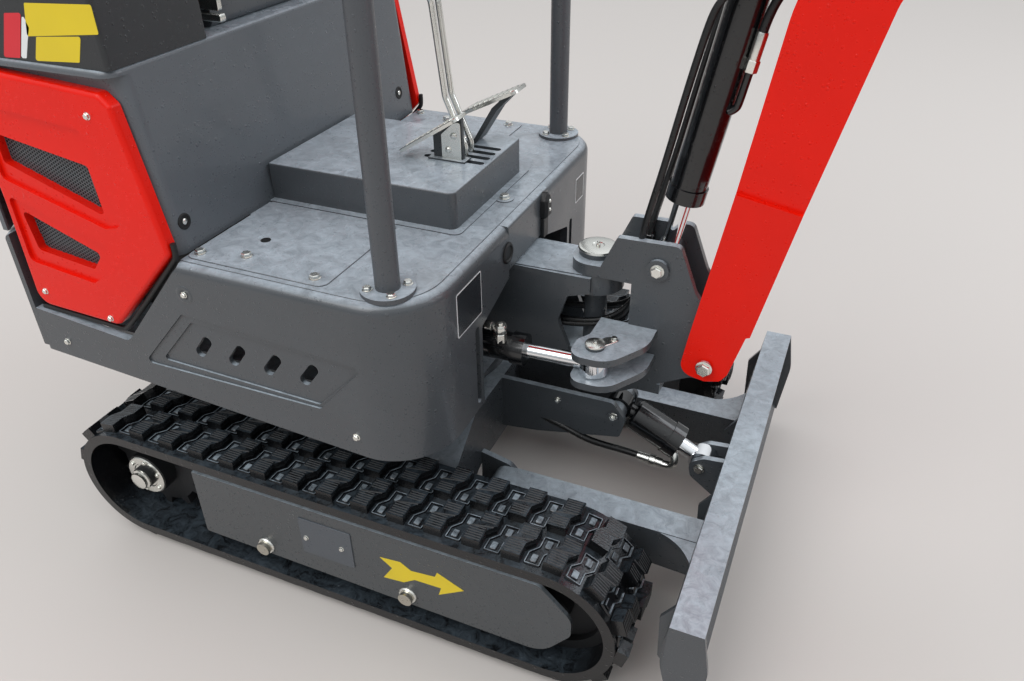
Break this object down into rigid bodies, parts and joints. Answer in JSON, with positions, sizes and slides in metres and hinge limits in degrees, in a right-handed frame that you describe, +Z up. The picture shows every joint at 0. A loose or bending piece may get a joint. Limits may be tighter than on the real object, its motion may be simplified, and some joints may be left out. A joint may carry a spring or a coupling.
{
  "type": "mini excavator",
  "caption": "Compact tracked excavator with a canopy, swinging boom, arm and bucket in front, and a dozer blade on the undercarriage.",
  "frame": {"origin": "on the ground under the slew axis, which is the origin of X and Y", "axes": "+X forward to the dozer blade, +Y left, +Z up"},
  "size_m": [2.3148, 0.942, 2.199],
  "materials": {
    "tracks": "black moulded rubber",
    "black_steel": "satin black paint",
    "chrome": "hard chrome rod",
    "red_paint": "bright red gloss",
    "dark_paint": "charcoal grey textured paint",
    "grey_paint": "light grey paint",
    "cast_iron": "bare casting, oily",
    "zinc": "zinc plated",
    "dark_plastic": "grained",
    "seat_cloth": "coated seat cover"
  },
  "bodies": {
    "undercarriage": {"track_right": "tracks", "track_left": "tracks", "track_frame_right": "dark_paint", "track_frame_left": "dark_paint", "track_wheels_right": "cast_iron", "track_wheels_left": "cast_iron", "track_drive_right": "cast_iron", "track_drive_left": "cast_iron", "centre_frame": "dark_paint", "slew_ring": "dark_paint"},
    "blade": {"dozer_blade": "dark_paint"},
    "blade_barrel": {"blade_cylinder_barrel": "black_steel"},
    "blade_rod": {"blade_cylinder_rod": "chrome"},
    "house": {"house_frame": "dark_paint", "skirt_right": "dark_paint", "skirt_left": "dark_paint", "deck_plate": "dark_paint", "hood": "grey_paint", "side_cover_right": "red_paint", "side_cover_left": "red_paint", "vent_meshes": "black_steel", "counterweight": "dark_paint", "engine_block": "cast_iron", "step_box": "dark_paint", "travel_levers": "zinc", "foot_pedals": "zinc", "seat_base": "dark_paint", "seat_cushion": "seat_cloth", "seat_back": "seat_cloth", "console_right": "dark_plastic", "console_left": "dark_plastic", "canopy_frame": "black_steel", "canopy_roof": "red_paint"},
    "rear_door": {"rear_door": "red_paint"},
    "swing": {"swing_bracket": "dark_paint"},
    "swing_barrel": {"swing_cylinder_barrel": "black_steel"},
    "swing_rod": {"swing_cylinder_rod": "chrome"},
    "boom": {"boom": "red_paint"},
    "boom_barrel": {"boom_cylinder_barrel": "black_steel"},
    "boom_rod": {"boom_cylinder_rod": "chrome"},
    "arm": {"arm": "red_paint"},
    "arm_barrel": {"arm_cylinder_barrel": "black_steel"},
    "arm_rod": {"arm_cylinder_rod": "chrome"},
    "bucket_rocker": {"bucket_rocker": "dark_paint"},
    "bucket_link": {"bucket_link": "dark_paint"},
    "bucket": {"bucket": "dark_paint"},
    "bucket_barrel": {"bucket_cylinder_barrel": "black_steel"},
    "bucket_rod": {"bucket_cylinder_rod": "chrome"}
  },
  "joints": [
    {"name": "slew", "type": "hinge", "parent": "undercarriage", "child": "house", "pos_m": [0, 0, 0.35], "axis": [0, 0, 1], "continuous": true},
    {"name": "blade_lift", "type": "hinge", "parent": "undercarriage", "child": "blade", "pos_m": [0.262, 0, 0.165], "axis": [0, -1, 0], "range_deg": [-26, 0]},
    {"name": "boom_swing", "type": "hinge", "parent": "house", "child": "swing", "pos_m": [0.378, 0, 0.5], "axis": [0, 0, 1], "range_deg": [-27, 60]},
    {"name": "boom_lift", "type": "hinge", "parent": "swing", "child": "boom", "pos_m": [0.608, 0, 0.478], "axis": [0, -1, 0], "range_deg": [-98, 6]},
    {"name": "arm_swing", "type": "hinge", "parent": "boom", "child": "arm", "pos_m": [1.2149, 0, 1.59035], "axis": [0, 1, 0], "range_deg": [-90, 16]},
    {"name": "bucket_curl", "type": "hinge", "parent": "arm", "child": "bucket", "pos_m": [1.4292, 0, 0.79057], "axis": [0, 1, 0], "range_deg": [-90, 33]},
    {"name": "rear_door_hinge", "type": "hinge", "parent": "house", "child": "rear_door", "pos_m": [-0.63, 0.385, 0.84], "axis": [0, 0, -1], "range_deg": [0, 95]},
    {"name": "blade_cylinder_turn", "type": "hinge", "parent": "undercarriage", "child": "blade_barrel", "pos_m": [0.441, 0, 0.297], "axis": [0, 1, 0], "range_deg": [-0.1, 32.06]},
    {"name": "blade_cylinder_slide", "type": "slide", "parent": "blade_barrel", "child": "blade_rod", "axis": [0.8974, 0, -0.4412], "range_m": [-0.001, 0.10054]},
    {"name": "boom_cylinder_turn", "type": "hinge", "parent": "boom", "child": "boom_barrel", "pos_m": [0.60457, 0, 1.17835], "axis": [0, 1, 0], "range_deg": [-0.19, 1.5]},
    {"name": "boom_cylinder_slide", "type": "slide", "parent": "boom_barrel", "child": "boom_rod", "axis": [-0.1845, 0, -0.9828], "range_m": [-0.01985, 0.30896]},
    {"name": "arm_cylinder_turn", "type": "hinge", "parent": "boom", "child": "arm_barrel", "pos_m": [0.7043, 0, 1.29217], "axis": [0, 1, 0], "range_deg": [-6.5, 1.24]},
    {"name": "arm_cylinder_slide", "type": "slide", "parent": "arm_barrel", "child": "arm_rod", "axis": [0.7586, 0, 0.6516], "range_m": [-0.25132, 0.0455]},
    {"name": "bucket_cylinder_turn", "type": "hinge", "parent": "arm", "child": "bucket_barrel", "pos_m": [1.33683, 0, 1.43668], "axis": [0, 1, 0], "range_deg": [-0.8, 2.02]},
    {"name": "bucket_cylinder_slide", "type": "slide", "parent": "bucket_barrel", "child": "bucket_rod", "axis": [0.3209, 0, -0.9471], "range_m": [-0.16013, 0.05935]},
    {"name": "swing_cylinder_turn", "type": "hinge", "parent": "house", "child": "swing_barrel", "pos_m": [-0.138, -0.178, 0.491], "axis": [0, 0, 1], "range_deg": [-3.73, 8.17]},
    {"name": "swing_cylinder_slide", "type": "slide", "parent": "swing_barrel", "child": "swing_rod", "axis": [0.9988, 0.0495, 0], "range_m": [-0.06031, 0.1328]},
    {"name": "rocker_turn", "type": "hinge", "parent": "arm", "child": "bucket_rocker", "pos_m": [1.39847, 0, 0.9516], "axis": [0, 1, 0], "range_deg": [-90.38, 33.2]},
    {"name": "link_turn", "type": "hinge", "parent": "bucket_rocker", "child": "bucket_link", "pos_m": [1.51095, 0, 0.92283], "axis": [0, 1, 0], "range_deg": [-33.48, 91.15]}
  ],
  "couplings": [
    {"joint": "blade_cylinder_turn", "follows": "blade_lift", "ratio": -1.2053},
    {"joint": "blade_cylinder_slide", "follows": "blade_lift", "m_per_rad": -0.21506},
    {"joint": "boom_cylinder_turn", "follows": "boom_lift", "ratio": -0.013989},
    {"joint": "boom_cylinder_slide", "follows": "boom_lift", "m_per_rad": -0.17652},
    {"joint": "arm_cylinder_turn", "follows": "arm_swing", "ratio": 0.069774},
    {"joint": "arm_cylinder_slide", "follows": "arm_swing", "m_per_rad": 0.15623},
    {"joint": "bucket_cylinder_turn", "follows": "bucket_curl", "ratio": -0.020918},
    {"joint": "bucket_cylinder_slide", "follows": "bucket_curl", "m_per_rad": 0.099317},
    {"joint": "swing_cylinder_turn", "follows": "boom_swing", "ratio": 0.13179},
    {"joint": "swing_cylinder_slide", "follows": "boom_swing", "m_per_rad": 0.12339},
    {"joint": "rocker_turn", "follows": "bucket_curl", "ratio": 0.98348},
    {"joint": "link_turn", "follows": "bucket_curl", "ratio": -0.9918}
  ]
}
